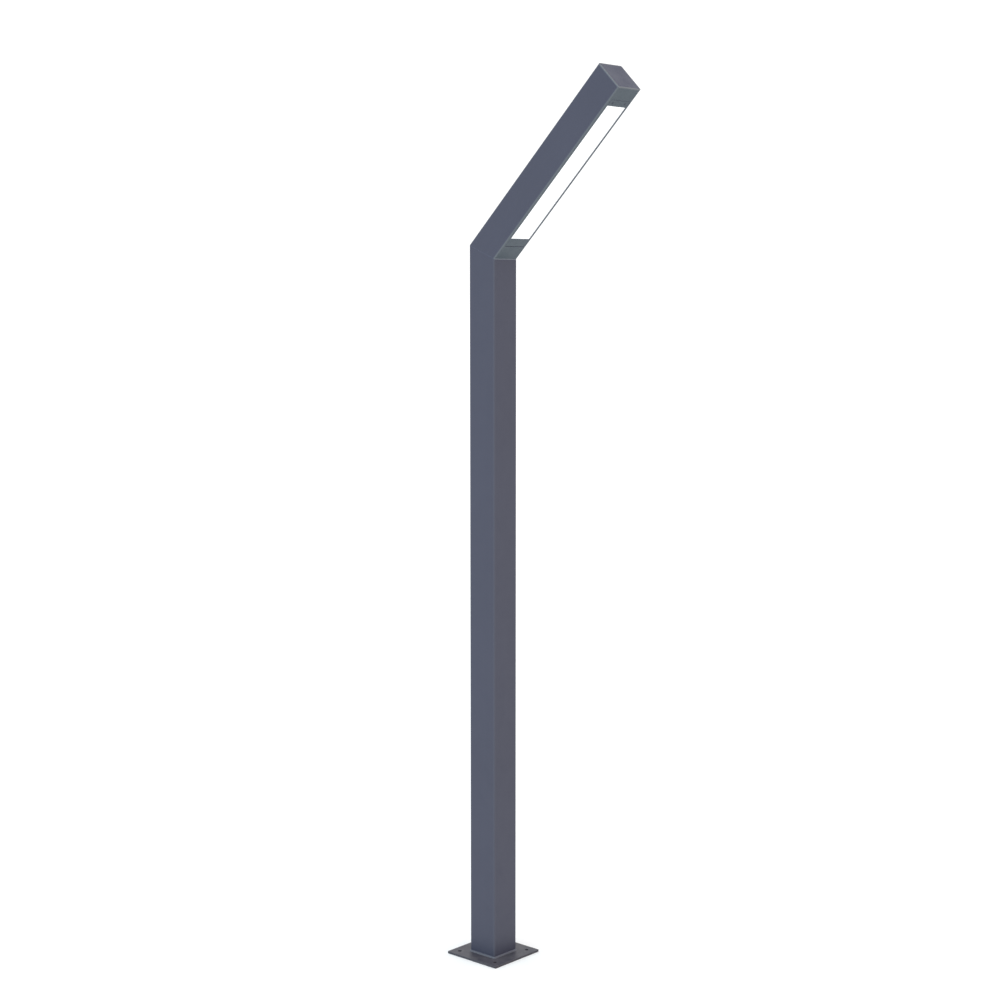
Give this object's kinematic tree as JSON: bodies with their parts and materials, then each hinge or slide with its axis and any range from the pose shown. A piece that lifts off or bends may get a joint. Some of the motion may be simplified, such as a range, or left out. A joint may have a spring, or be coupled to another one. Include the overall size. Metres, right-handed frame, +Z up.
{
  "type": "street lamp post",
  "caption": "Square tube lamp post on a base plate, folded to a leaning head with an opal LED panel in its underside and a service door in its back.",
  "frame": {"origin": "centre of the base plate's underside, on the column's axis and in the middle of the anchor holes", "axes": "+Z up the column, +X the way the head leans, Y across the column's width"},
  "size_m": [0.918, 0.3, 4],
  "materials": {
    "painted_steel": "satin powder coat, slate grey",
    "galvanised_steel": "dull zinc",
    "stainless_steel": "turned, satin",
    "brass": "turned, satin",
    "grey_plastic": "moulded, fine grain",
    "black_plastic": "moulded, fine grain",
    "white_plastic": "moulded, smooth",
    "black_rubber": "matt sheath",
    "earth_wire": "green wire with a yellow stripe",
    "aluminium": "extruded, clear anodised",
    "opal_panel": "opal, lit evenly from behind",
    "circuit_board": "white solder mask",
    "led_package": "yellow phosphor"
  },
  "bodies": {
    "post": {"base_plate": "painted_steel", "base_weld": "painted_steel", "column_tube": "painted_steel", "mitre_weld": "painted_steel", "head_tube": "painted_steel", "head_end_cap": "painted_steel", "door_frame": "galvanised_steel", "door_hinge_brackets": "painted_steel", "door_hinge_pins": "stainless_steel", "fuse_box_rail": "galvanised_steel", "fuse_box": "grey_plastic", "fuse_box_lid": "grey_plastic", "fuse_lid_screws": "brass", "fuse_holder": "black_plastic", "terminal_block": "white_plastic", "cable_glands": "black_plastic", "earth_stud": "brass", "earth_nuts": "brass", "earth_wire": "earth_wire", "riser_cable": "black_rubber", "socket_bracket": "galvanised_steel", "cable_clamp": "black_plastic", "supply_socket": "black_plastic", "supply_plug": "black_plastic", "tray_seat_frame": "galvanised_steel", "tray_seal": "black_rubber", "tray_hinge_ears": "galvanised_steel", "latch_nuts": "stainless_steel"},
    "service_door": {"service_door_panel": "painted_steel", "door_gasket": "black_rubber", "door_hinge_leaves": "painted_steel", "lock_housing": "stainless_steel", "lock_nut": "stainless_steel"},
    "door_lock": {"lock_spindle": "stainless_steel", "lock_cam": "galvanised_steel", "lock_cam_screw": "stainless_steel"},
    "led_tray": {"tray_extrusion": "aluminium", "tray_hinge_end": "painted_steel", "tray_latch_end": "painted_steel", "tray_end_screws": "stainless_steel", "tray_hinge_pin": "stainless_steel", "diffuser": "opal_panel", "diffuser_seal": "black_rubber", "led_boards": "circuit_board", "leds": "led_package", "board_screws": "stainless_steel", "board_connectors": "white_plastic", "driver_bracket": "galvanised_steel", "driver": "grey_plastic", "surge_protector": "white_plastic", "gear_screws": "stainless_steel", "driver_lead": "black_rubber", "captive_screws": "painted_steel", "jumper_cable": "black_rubber"}
  },
  "joints": [
    {"name": "door_swing", "type": "hinge", "parent": "post", "child": "service_door", "pos_m": [-0.0815, 0.0475, 0.7], "axis": [0, 0, -1], "range_deg": [0, 120]},
    {"name": "lock_turn", "type": "hinge", "parent": "service_door", "child": "door_lock", "pos_m": [-0.075, -0.022, 0.7], "axis": [1, 0, 0], "range_deg": [0, 90]},
    {"name": "tray_swing", "type": "hinge", "parent": "post", "child": "led_tray", "pos_m": [0.13157, 0, 3.26885], "axis": [0, 1, 0], "range_deg": [0, 90], "deforming": ["jumper_cable"]}
  ]
}
